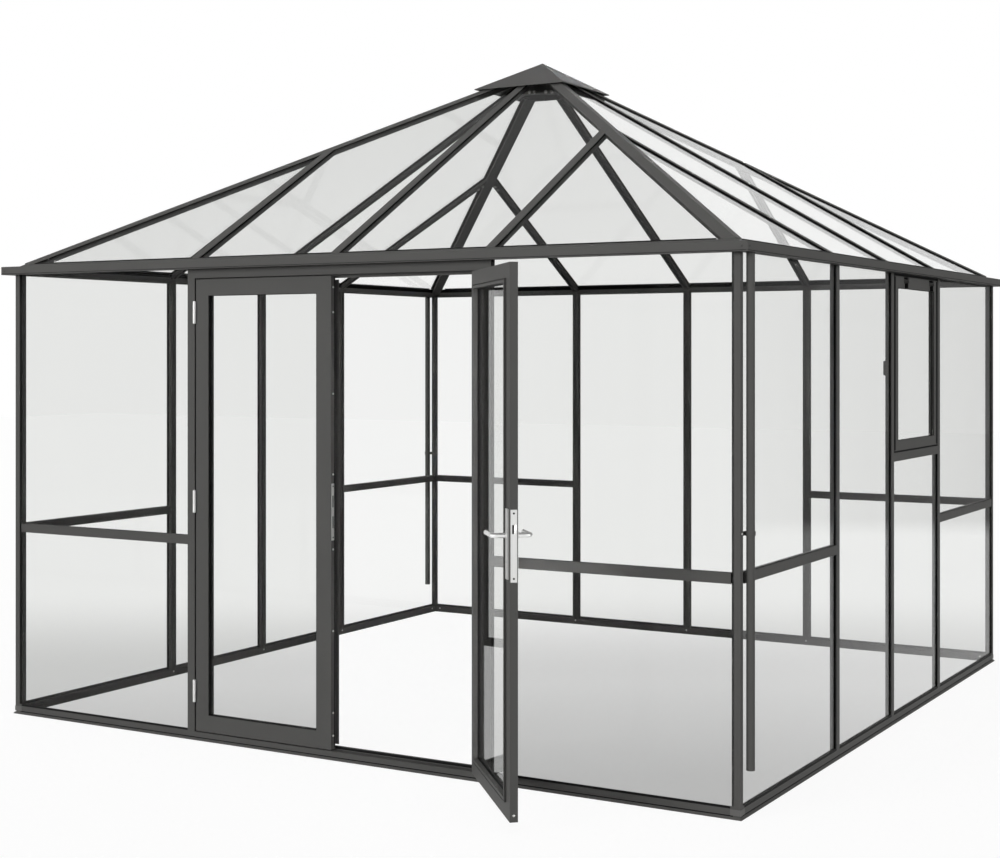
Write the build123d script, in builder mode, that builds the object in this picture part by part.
"""Square glass greenhouse with a pyramid roof, gutters all round and a pair of glazed front doors.

The frame is powder-coated aluminium: glazing bars hold single panes between rubber gaskets.
+Z is up, the doors face -Y, and the origin is at ground level under the middle of the front sill.
"""

import os
from math import atan, cos, radians, sin, sqrt, tan

from build123d import *

os.makedirs("parts", exist_ok=True)

# %% Driving dimensions, in millimetres and degrees

# Plan and heights
wall_half = 1838  # from the middle of the plan to the outer face of the posts
bar_pitch = 760  # from the middle of a wall to the bars beside it
sill_top = 36  # where the posts and the panes stand
eave_bottom = 2079  # underside of the eave beam, on top of the posts
rail_height = 880  # middle of the rails in the outer bays

# Roof
pitch = 30  # slope of each roof face
eave_width = 30  # of the eave beam, from the outer face of the wall inwards
eave_rise = 52.6  # of the bars' caps over the beam's underside, where they meet the beam
eave_lip = 2.5  # of the beam over the glass
hub_half = 110  # from the middle to the flats of the eight-sided hub
hub_drop = 157.5  # of the hub's underside below the point where the roof faces meet
hub_wall = 8
cap_half = 255  # of the square cap over the hub
cap_rise = 19.5  # of its tip over the point where the roof faces meet
cap_sheet = 3

# Glazing bars: cap, gasket, pocket for the glass, gasket and box, from the outside inwards
bar_width = 40
bar_depth = 31
bar_cap = 4
gasket = 2.75
gasket_width = 32
bar_neck = 10
slot_width = 12
slot_depth = 6
glass = 4
glass_play = 0.25  # between the glass and each gasket
pane_play = 2  # between a pane's edge and the neck beside it

# Corner posts
corner_cap = 26
corner_core = 20
corner_leg = 38

# Hip bars, whose folded caps lie in the roof faces
hip_cap_half = 40
hip_width = 50
hip_neck = 11
hip_depth = 44

# Sills
sill_lip = 7
sill_lip_height = 9
sill_lip_edge = 2
sill_groove = 2
sill_groove_top = 14
sill_gap = 0.2  # kept off the diagonal at each mitre
flange = 11  # of the sill in front of the panes
corner_plate = 1.5
corner_plate_leg = 40

# Gutters and downpipes
gutter_reach = 46
gutter_drop = 4  # of the gutter's underside below the eave beam's
gutter_tall = 38
gutter_back = 19  # height of its back
gutter_sheet = 2
pipe_radius = 16
pipe_sheet = 2
pipe_bottom = 177
pipe_inset = 42  # from the corner of the house, along the wall
pipe_gap = 7  # between the pipe and the wall
outlet_radius = 12
clip_height = 1045
clip_tall = 16
clip_sheet = 2.5
clip_play = 0.3
clip_stem = 8  # width of its stem
clip_inset = 4  # from the corner of the house

# Doors
header_tall = 43
stop_gap = 5.5  # between the back of a closed leaf and the stops
stop_thick = 4.5
stop_reach = 14  # of the head stop below the header
sill_stop = 17  # of the stop over the sill
foot_gap = 5  # between the sill and a leaf
head_gap = 6  # between a leaf and the header
leaf_thick = 30
hinge_gap = 8  # between a door post and its leaf
meeting_x = 3.5  # where the two leaves meet
meeting_gap = 6
hinge_stile = 70
lock_stile = 76
top_rail = 71
foot_rail = 73
leaf_skin = 12  # of the frame in front of the glass
bead = 11  # width of the raised bead round the glass
bead_rise = 8
bead_groove = 3.5  # width of the groove between the bead and the fin beside it
bead_groove_depth = 4
bead_fin = 1.5
leaf_pocket = 9  # by which the pane runs into the frame
right_opened = 132  # how far the right leaf stands open at rest

# Door furniture
hinge_radius = 6.5
hinge_tall = 95
hinge_low = 176  # of the lowest hinge's middle over the foot of a leaf
hinge_middle = 1052
hinge_high = 145  # of the highest hinge's middle below the top of a leaf
hinge_flap = 2.5
hinge_flap_depth = 25
pin_radius = 3
pin_play = 0.05
knuckle_gap = 0.4
plate_sink = 2  # thickness of the edge plates, let in flush
face_plate_width = 24
face_plate = (892, 1150)
strike_plate = (919, 1158)
strike_slots = (995, 1082)
strike_slot_tall = 50
strike_slot_width = 9
strike_hole = 14  # depth of the slots into the leaf
back_plate_width = 40
back_plate_thick = 5
back_plate = (900, 1151)
back_plate_inset = 16  # from the free edge of the leaf
lever_height = 1056
lever_radius = 9.5
lever_reach = 50
lever_length = 115
lever_bend = 18
spindle_radius = 4.5
spindle_reach = 10  # out of each face of the leaf
bore_radius = 5
lever_play = 0.5  # between a lever and its plate
astragal_reach = 14  # past the free edge of the left leaf
astragal_lap = 38  # behind the left leaf
astragal_thick = 3
astragal_foot = 10  # from the free edge to the strip's foot
astragal_low = 19  # between its ends and the leaf's
astragal_high = 15

# Window in the right wall, over a transom
transom_height = 1225
surround_reach = 13  # past the bars' caps, up to the sash
surround_foot = 8  # over the transom's cap
surround_head = 15  # below the eave beam
surround_depth = 5
surround_tongue = 5  # by which the tongue in the bars' pockets runs into it
window_play = 0.5
window_stile = 52
window_rail = 46
window_head = 54
window_depth = 30
window_hinge_at = (188, 602)
window_hinge_radius = 15
window_hinge_reach = 22
window_hinge_drop = 4  # of its edge below the window's
latch_height = 1636
latch_size = (14, 18, 60)
latch_inset = 4  # from the sash's edge

# %% Worked-out places

lip_middle = (bar_depth - sill_lip) / 2  # of the sill's underside, inwards from the wall face
centre = Vector(0, wall_half - lip_middle, 0)
pocket = glass + 2 * glass_play
glass_depth = bar_cap + gasket + glass_play  # of the glass, inwards from the outer face
glass_seat = bar_cap + gasket + pocket  # of the inner gasket, which the glass lies on
box_start = glass_seat + gasket
pane_edge = bar_neck / 2 + pane_play  # from a bar's middle to the panes beside it
slope = tan(radians(pitch))
eave_inner = wall_half - eave_width
eave_surface = eave_bottom + eave_rise
apex = centre + Vector(0, 0, eave_surface + eave_inner * slope)
hub_bottom = apex.Z - hub_drop
cap_tip = apex.Z + cap_rise
lean = radians(pitch)
lean_scale = 1 / cos(lean)
hip_lean = atan(slope / sqrt(2))
hip_edge = (hip_neck / 2 + pane_play) * sqrt(2) + glass * sin(lean)
fall = sin(hip_lean)  # of a roof face, for each step across a hip bar
fold_scale = 1 / cos(atan(fall))
sides = {"front": 0, "right": 90, "back": 180, "left": 270}
bay_edge = bar_pitch - bar_width / 2  # clear half width of the doorway
rail_end = wall_half - corner_leg
corner_pane = wall_half - corner_core - pane_play
gutter_bottom = eave_bottom - gutter_drop
header_bottom = eave_bottom - header_tall
window_bottom = transom_height + bar_width / 2 + surround_foot
window_top = eave_bottom - surround_head
surround_edge = bar_width / 2 + surround_reach
pane_top = eave_bottom - glass_play
up = Vector(0, 0, 1)
eave_neck = bar_neck + 2
hip_run = 2 * wall_half  # longer than a hip bar
pipe_sides = ("right", "left")
pipe_place = wall_half - pipe_inset
pipe_out = pipe_gap + pipe_radius
window_side = "right"
pane_low = wall_half - eave_neck - pane_play
pane_high = hub_half + pane_play

leaves = {"left": 1, "right": -1}
leaf_bottom = sill_top + foot_gap
leaf_top = header_bottom - head_gap
hinge_heights = (leaf_bottom + hinge_low, hinge_middle, leaf_top - hinge_high)
pivot_x = bay_edge - hinge_gap / 2
hinge_edge = hinge_gap / 2  # of a leaf, from its pivot
leaf_front = hinge_radius
leaf_back = leaf_front + leaf_thick
plate_near = leaf_front + (leaf_thick - face_plate_width) / 2
plate_far = leaf_back - (leaf_thick - face_plate_width) / 2
slot_near = leaf_front + (leaf_thick - strike_slot_width) / 2
slot_far = leaf_back - (leaf_thick - strike_slot_width) / 2
leaf_far = {1: pivot_x + meeting_x - meeting_gap / 2, -1: pivot_x - meeting_x - meeting_gap / 2}
spindle_x = leaf_far[-1] - back_plate_inset - back_plate_width / 2


def along(side):
    """Direction along a wall, from left to right as seen from outside."""
    turn = radians(sides[side])
    return Vector(cos(turn), sin(turn), 0)


def outward(side):
    """Direction out of a wall."""
    turn = radians(sides[side])
    return Vector(sin(turn), -cos(turn), 0)


def wall_face(side, depth=0):
    """Plane of a wall, that far behind its outer face: x along it, y up, z outwards."""
    return Plane(
        centre + outward(side) * (wall_half - depth), x_dir=along(side), z_dir=outward(side)
    )


def wall_plan(side, height):
    """Level plane at a height: x along the wall, y inwards from its outer face."""
    return Plane(
        centre + outward(side) * wall_half + up * height, x_dir=along(side), z_dir=up
    )


def wall_section(side, place=0):
    """Plane square to a wall's length: x up from the ground, y inwards from the outer face."""
    return Plane(
        centre + outward(side) * wall_half + along(side) * place, x_dir=up, z_dir=-along(side)
    )


def roof_face(side, depth=0):
    """Plane of a roof face, that far below its surface: x along the eave, y up the slope."""
    normal = outward(side) * sin(lean) + up * cos(lean)
    return Plane(apex - normal * depth, x_dir=along(side), z_dir=normal)


def corner_plan(quarter, height):
    """Level plane at a corner of the house: x and y both run inwards along the two walls."""
    turn = radians(90 * quarter)
    inward_x = Vector(-sin(turn), cos(turn), 0)
    inward_y = Vector(-cos(turn), -sin(turn), 0)
    corner = centre - (inward_x + inward_y) * wall_half
    return Plane(corner + up * height, x_dir=inward_x, z_dir=up)


def block(x0, y0, x1, y1, mode=Mode.ADD):
    """Rectangle between two corners, in the sketch being made."""
    with Locations(((x0 + x1) / 2, (y0 + y1) / 2)):
        Rectangle(abs(x1 - x0), abs(y1 - y0), mode=mode)


def keep(shape, distance, normal, point=centre):
    """The part of a shape beyond an upright plane, that far from a point along the normal."""
    normal = normal.normalized()
    plane = Plane(point + normal * distance, z_dir=normal)
    return split(shape, bisect_by=plane, keep=Keep.TOP, mode=Mode.PRIVATE)


def add_mitred(side, section, gap=0):
    """Adds a section drawn square to a wall, run along it between the diagonals of the plan."""
    piece = extrude(section, amount=wall_half + sill_lip + gutter_reach, both=True, mode=Mode.PRIVATE)
    for turn in (-1, 1):
        piece = keep(piece, gap, outward(side) + along(side) * turn)
    add(piece)


def upright(side, place):
    """Glazing bar that stands on the sill and carries the eave beam."""
    with BuildSketch(wall_plan(side, sill_top)) as foot:
        with Locations((place, 0)):
            add(bar_section.sketch)
    extrude(foot.sketch, amount=eave_bottom - sill_top)


def crossbar(side, start, end, height):
    """Level glazing bar between two places along a wall."""
    with BuildSketch(wall_section(side, start)) as stub:
        with Locations((height, 0)):
            add(bar_section.sketch)
    extrude(stub.sketch, amount=start - end)


def ring(x0, y0, x1, y1, inset):
    """Rectangle with a rectangular hole; inset is left, bottom, right and top."""
    block(x0, y0, x1, y1)
    left, bottom, right, top = inset
    block(x0 + left, y0 + bottom, x1 - right, y1 - top, Mode.SUBTRACT)


def bays(side, edge=pane_edge, corner=corner_pane):
    """Where the glazed bays of a wall start and end, that far beside the bars' middles."""
    middle = bar_pitch - edge
    outer = [(-corner, -bar_pitch - edge), (bar_pitch + edge, corner)]
    inner = [] if side == "front" else [(-middle, -edge), (edge, middle)]
    return outer + inner


def roof_height(depth, below=0):
    """Height of the roof surface over the eave beam, or of a layer that far under it."""
    return eave_surface - (eave_width - depth) * slope - below * lean_scale


def sloping_bar(side, place, section=None):
    """Glazing bar, or some of its layers, from the eave beam to the top of the roof."""
    face = roof_face(side)
    foot = face.from_local_coords(Vector(place, -wall_half * lean_scale, 0))
    with BuildSketch(Plane(foot, x_dir=along(side), z_dir=face.y_dir), mode=Mode.PRIVATE) as profile:
        add(section or bar_section.sketch)
    piece = extrude(profile.sketch, amount=wall_half * lean_scale, mode=Mode.PRIVATE)
    return keep(piece, -eave_inner, -outward(side))


def roof_pane(*corners, hand):
    """Pane in a roof face; each corner is its place along the wall and its distance out in plan."""
    points = [(hand * x, -(out + glass_depth * sin(lean)) * lean_scale) for x, out in corners]
    Polygon(*points, align=None)


def leaf_plan(hand, height):
    """Level plane through a leaf's hinge axis: the leaf runs along hand * x, and y is inwards."""
    turn = 0 if hand > 0 else radians(right_opened)
    pivot = centre + Vector(-hand * pivot_x, -wall_half - hinge_radius, height)
    return Plane(pivot, x_dir=Vector(cos(turn), sin(turn), 0), z_dir=up)


def post_plan(hand, height):
    """Level plane through a hinge axis, with x along the wall and y inwards."""
    return Plane(leaf_plan(hand, height).origin, x_dir=(1, 0, 0), z_dir=up)


def leaf_block(hand, x0, x1, y0, y1, z0, z1, mode=Mode.ADD):
    """Block on a leaf: x from its hinge axis, y inwards, z from the ground."""
    with BuildSketch(leaf_plan(hand, z0)) as outline:
        block(hand * x0, y0, hand * x1, y1)
    extrude(outline.sketch, amount=z1 - z0, mode=mode)


def leaf_ring(hand, outer, inner, y0, y1):
    """Ring round the opening of a leaf, whose edges lie that far outside the opening's."""
    leaf_slab(hand, outer, y0, y1)
    leaf_slab(hand, inner, y0, y1, Mode.SUBTRACT)


def leaf_slab(hand, grow, y0, y1, mode=Mode.ADD):
    """Slab the size of a leaf's opening, grown by that much all round."""
    leaf_block(
        hand,
        hinge_edge + hinge_stile - grow,
        leaf_far[hand] - lock_stile + grow,
        y0,
        y1,
        leaf_bottom + foot_rail - grow,
        leaf_top - top_rail + grow,
        mode,
    )


def strike_openings(x):
    """Cuts the slots that the bolts enter, from that far along the left leaf to its free edge."""
    for height in strike_slots:
        low, high = height - strike_slot_tall / 2, height + strike_slot_tall / 2
        leaf_block(1, x, leaf_far[1], slot_near, slot_far, low, high, Mode.SUBTRACT)


def leaf_rod(hand, x, height, radius, y0, y1, mode=Mode.ADD):
    """Rod through a leaf, square to its face."""
    plan = leaf_plan(hand, height)
    start = plan.from_local_coords(Vector(hand * x, y0, 0))
    with BuildSketch(Plane(start, x_dir=plan.x_dir, z_dir=plan.y_dir)) as outline:
        Circle(radius)
    extrude(outline.sketch, amount=y1 - y0, mode=mode)


def save(builder, name):
    """Labels a finished piece and writes it."""
    builder.part.label = name
    export_step(builder.part, f"parts/{name}.step")


# %% Sections of the bars

# Layers of a glazing bar: x across it, y inwards from its outer face
with BuildSketch() as cap_section:
    block(-bar_width / 2, 0, bar_width / 2, bar_cap)
    block(-gasket_width / 2, bar_cap, gasket_width / 2, bar_cap + gasket)
with BuildSketch() as box_section:
    block(-bar_neck / 2, bar_cap + gasket, bar_neck / 2, box_start)
    block(-gasket_width / 2, glass_seat, gasket_width / 2, box_start)
    block(-bar_width / 2, box_start, bar_width / 2, bar_depth)
    block(-slot_width / 2, bar_depth - slot_depth, slot_width / 2, bar_depth, Mode.SUBTRACT)
with BuildSketch() as bar_section:
    add(cap_section.sketch)
    add(box_section.sketch)


def hip_layer(start, half, top, bottom):
    """Pair of layers of a hip bar that lie in the roof faces, between two depths below them."""
    for turn in (-1, 1):
        Polygon(
            (turn * start, top * fold_scale + start * fall),
            (turn * half, top * fold_scale + half * fall),
            (turn * half, bottom * fold_scale + half * fall),
            (turn * start, bottom * fold_scale + start * fall),
            align=None,
        )


# Section of a hip bar: x across it, y down from the line in which the roof faces meet
with BuildSketch() as hip_section:
    hip_layer(0, hip_cap_half, 0, bar_cap)
    hip_layer(hip_neck / 2, hip_width / 2 - 1, bar_cap, bar_cap + gasket)
    block(-hip_neck / 2, bar_cap * fold_scale, hip_neck / 2, hip_depth)
    seat_edge = glass_seat * fold_scale + hip_width / 2 * fall
    Polygon(
        (0, glass_seat * fold_scale),
        (hip_width / 2, seat_edge),
        (hip_width / 2, hip_depth),
        (-hip_width / 2, hip_depth),
        (-hip_width / 2, seat_edge),
        align=None,
    )

# %% Sills and their corner plates

with BuildPart() as sills:
    for side in sides:
        with BuildSketch(wall_section(side), mode=Mode.PRIVATE) as sill_section:
            with BuildLine():
                Polyline(
                    (0, -sill_lip),
                    (0, bar_depth),
                    (sill_top, bar_depth),
                    (sill_top, 0),
                    (sill_groove_top, 0),
                    (sill_groove_top, sill_groove),
                    (sill_lip_height, sill_groove),
                    (sill_lip_height, 0),
                    (sill_lip_edge, -sill_lip),
                    close=True,
                )
            make_face()
        add_mitred(side, sill_section.sketch, sill_gap)
        for start, end in bays(side, bar_width / 2, wall_half - corner_cap):
            with BuildSketch(wall_plan(side, sill_top)):
                block(start, 0, end, bar_cap)
            extrude(amount=flange)
save(sills, "sills")

with BuildPart() as sill_corner_plates:
    for quarter in range(4):
        with BuildSketch(corner_plan(quarter, sill_groove_top)):
            block(-corner_plate, -corner_plate, corner_plate_leg, 0)
            block(-corner_plate, -corner_plate, 0, corner_plate_leg)
        extrude(amount=sill_top - sill_groove_top)
save(sill_corner_plates, "sill_corner_plates")

# %% Corner posts, glazing bars and rails

with BuildPart() as corner_posts:
    for quarter in range(4):
        with BuildSketch(corner_plan(quarter, sill_top)):
            block(0, 0, corner_core, corner_core)
            block(0, 0, corner_cap, bar_cap)
            block(0, 0, bar_cap, corner_cap)
            block(glass_seat, glass_seat, corner_leg, bar_depth)
            block(glass_seat, glass_seat, bar_depth, corner_leg)
        extrude(amount=eave_bottom - sill_top)
save(corner_posts, "corner_posts")

with BuildPart() as door_posts:
    for place in (-bar_pitch, bar_pitch):
        upright("front", place)
save(door_posts, "door_posts")

for side in ("right", "back", "left"):
    with BuildPart() as wall_bars:
        for place in (-bar_pitch, 0, bar_pitch):
            upright(side, place)
    save(wall_bars, f"{side}_wall_bars")

rail_start = bar_pitch + bar_width / 2
with BuildPart() as mid_rails:
    for side in sides:
        crossbar(side, -rail_end, -rail_start, rail_height)
        crossbar(side, rail_start, rail_end, rail_height)
save(mid_rails, "mid_rails")

# %% Doorway: header with its stop, and the stop along the threshold

stop_front = leaf_thick + stop_gap
stop_back = stop_front + stop_thick
with BuildPart() as door_header:
    with BuildSketch(wall_section("front")):
        block(header_bottom, 0, eave_bottom, stop_back)
        block(header_bottom - stop_reach, stop_front, header_bottom, stop_back)
    extrude(amount=bay_edge, both=True)
save(door_header, "door_header")

with BuildPart() as door_threshold:
    with BuildSketch(wall_section("front")):
        block(0, bar_depth, sill_top, stop_back)
        block(sill_top, stop_front, sill_top + sill_stop, stop_back)
    extrude(amount=bay_edge, both=True)
save(door_threshold, "door_threshold")

# %% Eave beams, which clamp the lower edge of the roof glass

lip_under = bar_cap + gasket
with BuildPart() as eave_beams:
    for side in sides:
        with BuildSketch(wall_section(side), mode=Mode.PRIVATE) as eave_section:
            with BuildLine():
                Polyline(
                    (eave_bottom, 0),
                    (eave_bottom, eave_width),
                    (roof_height(eave_width, glass_seat), eave_width),
                    (roof_height(eave_neck, glass_seat), eave_neck),
                    (roof_height(eave_neck, lip_under), eave_neck),
                    (roof_height(eave_width, lip_under), eave_width),
                    (roof_height(eave_width, lip_under - eave_lip), eave_width),
                    (roof_height(0, lip_under - eave_lip), 0),
                    close=True,
                )
            make_face()
        add_mitred(side, eave_section.sketch, glass_play)
save(eave_beams, "eave_beams")

# %% Gutters

for side in sides:
    with BuildPart() as gutter:
        with BuildSketch(wall_section(side), mode=Mode.PRIVATE) as gutter_section:
            front = gutter_sheet - gutter_reach
            block(gutter_bottom, -gutter_reach, gutter_bottom + gutter_tall, front)
            block(gutter_bottom, -gutter_reach, gutter_bottom + gutter_sheet, -glass_play)
            block(gutter_bottom, -gutter_sheet - glass_play, gutter_bottom + gutter_back, -glass_play)
        add_mitred(side, gutter_section.sketch)
        if side in pipe_sides:
            with BuildSketch(wall_plan(side, gutter_bottom)):
                with Locations((-pipe_place, -pipe_out)):
                    Circle(outlet_radius)
            extrude(amount=gutter_sheet, mode=Mode.SUBTRACT)
    save(gutter, f"{side}_gutter")

# %% Downpipes at opposite corners, each held by a clip on the corner post

with BuildPart() as downpipes:
    for side in pipe_sides:
        with BuildSketch(wall_plan(side, pipe_bottom)):
            with Locations((-pipe_place, -pipe_out)):
                Circle(pipe_radius)
                Circle(pipe_radius - pipe_sheet, mode=Mode.SUBTRACT)
        extrude(amount=gutter_bottom - pipe_bottom)
save(downpipes, "downpipes")

with BuildPart() as downpipe_clips:
    for side in pipe_sides:
        with BuildSketch(wall_plan(side, clip_height - clip_tall / 2)):
            with Locations((-pipe_place, -pipe_out)):
                Circle(pipe_radius + clip_play + clip_sheet)
            block(-wall_half + clip_inset, -clip_sheet, -pipe_place, 0)
            block(-pipe_place - clip_stem / 2, -pipe_gap, -pipe_place + clip_stem / 2, 0)
            with Locations((-pipe_place, -pipe_out)):
                Circle(pipe_radius + clip_play, mode=Mode.SUBTRACT)
        extrude(amount=clip_tall)
save(downpipe_clips, "downpipe_clips")

# %% Roof bars: hips down the corners, a rafter up the middle of each face, jack rafters beside it

with BuildPart() as hip_bars:
    for quarter in range(4):
        outward_hip = (outward("front").rotate(Axis.Z, 45 + 90 * quarter)).normalized()
        climb = up * sin(hip_lean) - outward_hip * cos(hip_lean)
        foot = apex + climb * -hip_run
        plane = Plane(foot, x_dir=up.cross(outward_hip), z_dir=climb)
        with BuildSketch(plane, mode=Mode.PRIVATE) as hip_profile:
            add(hip_section.sketch)
        hip = extrude(hip_profile.sketch, amount=hip_run, mode=Mode.PRIVATE)
        hip = keep(hip, hub_half, outward_hip)
        for turn in (-45, 45):
            hip = keep(hip, -eave_inner, -outward_hip.rotate(Axis.Z, turn))
        add(hip)
save(hip_bars, "hip_bars")

with BuildPart() as centre_rafters:
    for side in sides:
        add(keep(sloping_bar(side, 0), hub_half, outward(side)))
save(centre_rafters, "centre_rafters")

with BuildPart() as jack_rafters:
    for side in sides:
        for turn in (-1, 1):
            for layer, half in ((cap_section, hip_cap_half), (box_section, hip_width / 2)):
                piece = sloping_bar(side, turn * bar_pitch, layer.sketch)
                add(keep(piece, half + glass_play, outward(side) - along(side) * turn))
save(jack_rafters, "jack_rafters")

# %% Hub and its cap

with BuildPart() as apex_hub:
    with BuildSketch(Plane(centre + up * hub_bottom)):
        RegularPolygon(hub_half, 8, major_radius=False, rotation=22.5)
        RegularPolygon(hub_half - hub_wall, 8, major_radius=False, rotation=22.5, mode=Mode.SUBTRACT)
    hub_top = cap_tip - cap_sheet * lean_scale - hub_half * slope - glass_play
    extrude(amount=hub_top - hub_bottom)
save(apex_hub, "apex_hub")

with BuildPart() as apex_cap:
    cap_outside = [(0, cap_tip), (cap_half, cap_tip - cap_half * slope)]
    cap_inside = [(x, z - cap_sheet * lean_scale) for x, z in reversed(cap_outside)]
    for side in sides:
        plane = Plane(centre, x_dir=outward(side), z_dir=-along(side))
        with BuildSketch(plane, mode=Mode.PRIVATE) as sheet:
            with BuildLine():
                Polyline(*cap_outside, *cap_inside, close=True)
            make_face()
        piece = extrude(sheet.sketch, amount=cap_half, both=True, mode=Mode.PRIVATE)
        for turn in (-1, 1):
            piece = keep(piece, 0, outward(side) + along(side) * turn)
        add(piece)
save(apex_cap, "apex_cap")

# %% Wall and roof glass

for side in sides:
    with BuildPart() as wall_glass:
        with BuildSketch(wall_face(side, glass_depth)):
            for start, end in bays(side):
                if max(abs(start), abs(end)) > bar_pitch:
                    block(start, sill_top, end, rail_height - pane_edge)
                    block(start, rail_height + pane_edge, end, pane_top)
                elif side == window_side and start > 0:
                    block(start, sill_top, end, transom_height - pane_edge)
                else:
                    block(start, sill_top, end, pane_top)
        extrude(amount=-glass)
    save(wall_glass, f"{side}_wall_glass")

for side in sides:
    with BuildPart() as roof_glass:
        with BuildSketch(roof_face(side, glass_depth)):
            for hand in (-1, 1):
                inner, middle, outer = pane_edge, bar_pitch - pane_edge, bar_pitch + pane_edge
                roof_pane(
                    (inner, pane_low),
                    (middle, pane_low),
                    (middle, middle + hip_edge),
                    (pane_high - hip_edge, pane_high),
                    (inner, pane_high),
                    hand=hand,
                )
                roof_pane(
                    (outer, pane_low),
                    (pane_low - hip_edge, pane_low),
                    (outer, outer + hip_edge),
                    hand=hand,
                )
        extrude(amount=-glass)
    save(roof_glass, f"{side}_roof_glass")

# %% Window in the right wall, over its transom

with BuildPart() as window_transom:
    crossbar(window_side, bar_width / 2, bar_pitch - bar_width / 2, transom_height)
save(window_transom, "window_transom")

surround_top = eave_bottom - glass_play
surround_low = transom_height + bar_width / 2 + glass_play
sash_left, sash_right = surround_edge + window_play, bar_pitch - surround_edge - window_play
tongue = bar_width / 2 + surround_tongue - pane_edge
with BuildPart() as window_surround:
    with BuildSketch(wall_face(window_side, surround_depth)):
        ring(
            bar_width / 2 + glass_play,
            surround_low,
            bar_pitch - bar_width / 2 - glass_play,
            surround_top,
            (
                surround_edge - bar_width / 2 - glass_play,
                window_bottom - window_play - surround_low,
                surround_edge - bar_width / 2 - glass_play,
                surround_top - window_top - window_play,
            ),
        )
    extrude(amount=surround_depth - bar_depth)
    with BuildSketch(wall_face(window_side, glass_depth)):
        ring(
            pane_edge,
            transom_height + pane_edge,
            bar_pitch - pane_edge,
            surround_top,
            (tongue, tongue, tongue, surround_tongue),
        )
    extrude(amount=-glass)
save(window_surround, "window_surround")

with BuildPart() as window_frame:
    with BuildSketch(wall_face(window_side)):
        ring(
            sash_left,
            window_bottom,
            sash_right,
            window_top,
            (window_stile, window_rail, window_stile, window_head),
        )
    extrude(amount=-window_depth)
    with BuildSketch(wall_face(window_side, leaf_skin)):
        block(
            sash_left + window_stile - leaf_pocket,
            window_bottom + window_rail - leaf_pocket,
            sash_right - window_stile + leaf_pocket,
            window_top - window_head + leaf_pocket,
        )
    extrude(amount=-pocket, mode=Mode.SUBTRACT)
save(window_frame, "window_frame")

with BuildPart() as window_glass:
    with BuildSketch(wall_face(window_side, leaf_skin + glass_play)):
        block(
            sash_left + window_stile - leaf_pocket + pane_play,
            window_bottom + window_rail - leaf_pocket + pane_play,
            sash_right - window_stile + leaf_pocket - pane_play,
            window_top - window_head + leaf_pocket - pane_play,
        )
    extrude(amount=-glass)
save(window_glass, "window_glass")

with BuildPart() as window_fittings:
    for place in window_hinge_at:
        with BuildSketch(wall_face(window_side)):
            with Locations((place, window_top - window_hinge_drop - window_hinge_radius)):
                Circle(window_hinge_radius)
        extrude(amount=window_hinge_reach, taper=15)
    latch_across, latch_out, latch_tall = latch_size
    with BuildSketch(wall_plan(window_side, latch_height - latch_tall / 2)):
        latch_left = sash_left + latch_inset
        block(latch_left, window_depth, latch_left + latch_across, window_depth + latch_out)
    extrude(amount=latch_tall)
save(window_fittings, "window_fittings")

# %% Door leaves: frame with raised beads inside, and the pane in its pocket

edge_plates = {1: strike_plate, -1: face_plate}
for name, hand in leaves.items():
    with BuildPart() as leaf_frame:
        leaf_block(hand, hinge_edge, leaf_far[hand], leaf_front, leaf_back, leaf_bottom, leaf_top)
        leaf_slab(hand, 0, leaf_front, leaf_back, Mode.SUBTRACT)
        bead_top = leaf_back + bead_rise
        fin_foot = bead + bead_groove
        leaf_ring(hand, fin_foot + bead_fin, 0, leaf_back, bead_top - bead_groove_depth)
        leaf_ring(hand, fin_foot + bead_fin, fin_foot, leaf_back, bead_top)
        leaf_ring(hand, bead, 0, leaf_back, bead_top)
        start = leaf_front + leaf_skin
        leaf_slab(hand, leaf_pocket, start, start + pocket, Mode.SUBTRACT)
        edge = leaf_far[hand]
        plate = (edge - plate_sink, edge, plate_near, plate_far, *edge_plates[hand])
        leaf_block(hand, *plate, Mode.SUBTRACT)
        if hand > 0:
            strike_openings(edge - strike_hole)
        else:
            leaf_rod(hand, spindle_x, lever_height, bore_radius, leaf_front, leaf_back, Mode.SUBTRACT)
    save(leaf_frame, f"{name}_leaf_frame")

    with BuildPart() as leaf_glass:
        leaf_slab(hand, leaf_pocket - pane_play, start + glass_play, start + glass_play + glass)
    save(leaf_glass, f"{name}_leaf_glass")

# %% Left leaf: the cover strip behind the meeting edges, and the strike plate

with BuildPart() as left_leaf_astragal:
    edge, low, high = leaf_far[1], leaf_bottom + astragal_low, leaf_top - astragal_high
    strip = leaf_back + stop_gap
    leaf_block(1, edge - astragal_lap, edge + astragal_reach, strip, strip + astragal_thick, low, high)
    leaf_block(1, edge - astragal_lap, edge - astragal_foot, leaf_back, strip, low, high)
save(left_leaf_astragal, "left_leaf_astragal")

with BuildPart() as left_leaf_strike:
    leaf_block(1, edge - plate_sink, edge, plate_near, plate_far, *strike_plate)
    strike_openings(edge - plate_sink)
save(left_leaf_strike, "left_leaf_strike")

# %% Right leaf: lock with its edge plate and back plates, and the levers on their spindle

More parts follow.
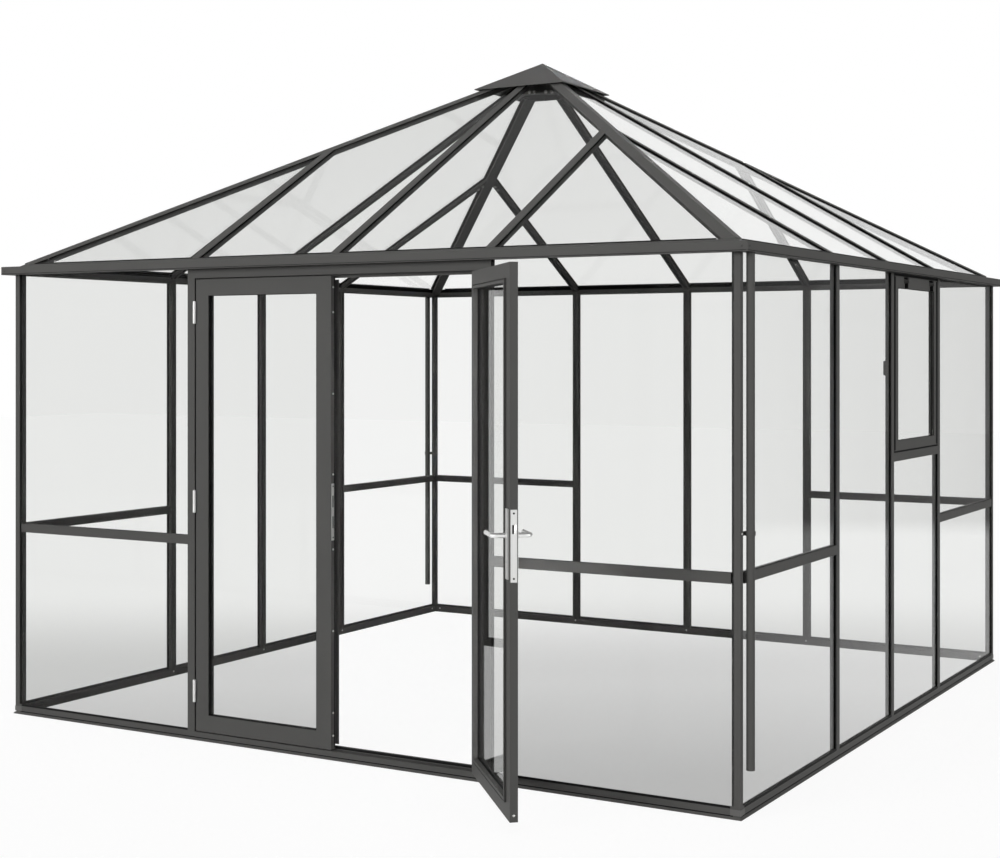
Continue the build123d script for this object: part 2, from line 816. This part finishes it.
with BuildPart() as right_leaf_lock:
    edge = leaf_far[-1]
    leaf_block(-1, edge - plate_sink, edge, plate_near, plate_far, *face_plate)
    plate_start, plate_end = edge - back_plate_inset - back_plate_width, edge - back_plate_inset
    leaf_block(-1, plate_start, plate_end, leaf_front - back_plate_thick, leaf_front, *back_plate)
    leaf_block(-1, plate_start, plate_end, leaf_back, leaf_back + back_plate_thick, *back_plate)
    bore = (leaf_front - spindle_reach, leaf_back + spindle_reach)
    leaf_rod(-1, spindle_x, lever_height, bore_radius, *bore, Mode.SUBTRACT)
save(right_leaf_lock, "right_leaf_lock")

with BuildPart() as door_levers:
    plan = leaf_plan(-1, lever_height)
    leaf_rod(-1, spindle_x, lever_height, spindle_radius, *bore)
    for face, turn in ((leaf_front - back_plate_thick, -1), (leaf_back + back_plate_thick, 1)):
        bend_start = face + turn * (lever_reach - lever_bend)
        ends = sorted((face + turn * lever_play, bend_start))
        leaf_rod(-1, spindle_x, lever_height, lever_radius, *ends)
        around = plan.from_local_coords(Vector(-spindle_x + lever_bend, bend_start))
        bar_start = plan.from_local_coords(Vector(-spindle_x + lever_bend, face + turn * lever_reach))
        neck_end = plan.from_local_coords(Vector(-spindle_x, bend_start))
        with BuildSketch(Plane(neck_end, x_dir=plan.x_dir, z_dir=plan.y_dir)):
            Circle(lever_radius)
        revolve(axis=Axis(around, up * -turn), revolution_arc=90)
        with BuildSketch(Plane(bar_start, x_dir=up, z_dir=plan.x_dir)):
            Circle(lever_radius)
        extrude(amount=lever_length - lever_bend)
save(door_levers, "door_levers")

# %% Hinges: the lower knuckle and the pin on the post, the upper knuckle on the leaf

with BuildPart() as door_post_hinges:
    for hand in (1, -1):
        for height in hinge_heights:
            foot = height - hinge_tall / 2
            with BuildSketch(post_plan(hand, foot)):
                Circle(hinge_radius)
                block(-hand * hinge_edge, 0, -hand * (hinge_edge - hinge_flap), hinge_flap_depth)
            extrude(amount=(hinge_tall - knuckle_gap) / 2)
            with BuildSketch(post_plan(hand, foot)):
                Circle(pin_radius)
            extrude(amount=hinge_tall - 2)
save(door_post_hinges, "door_post_hinges")

for name, hand in leaves.items():
    with BuildPart() as leaf_hinges:
        for height in hinge_heights:
            with BuildSketch(leaf_plan(hand, height + knuckle_gap / 2)):
                Circle(hinge_radius)
                block(hand * (hinge_edge - hinge_flap), 0, hand * hinge_edge, hinge_flap_depth)
                Circle(pin_radius + pin_play, mode=Mode.SUBTRACT)
            extrude(amount=(hinge_tall - knuckle_gap) / 2)
    save(leaf_hinges, f"{name}_leaf_hinges")
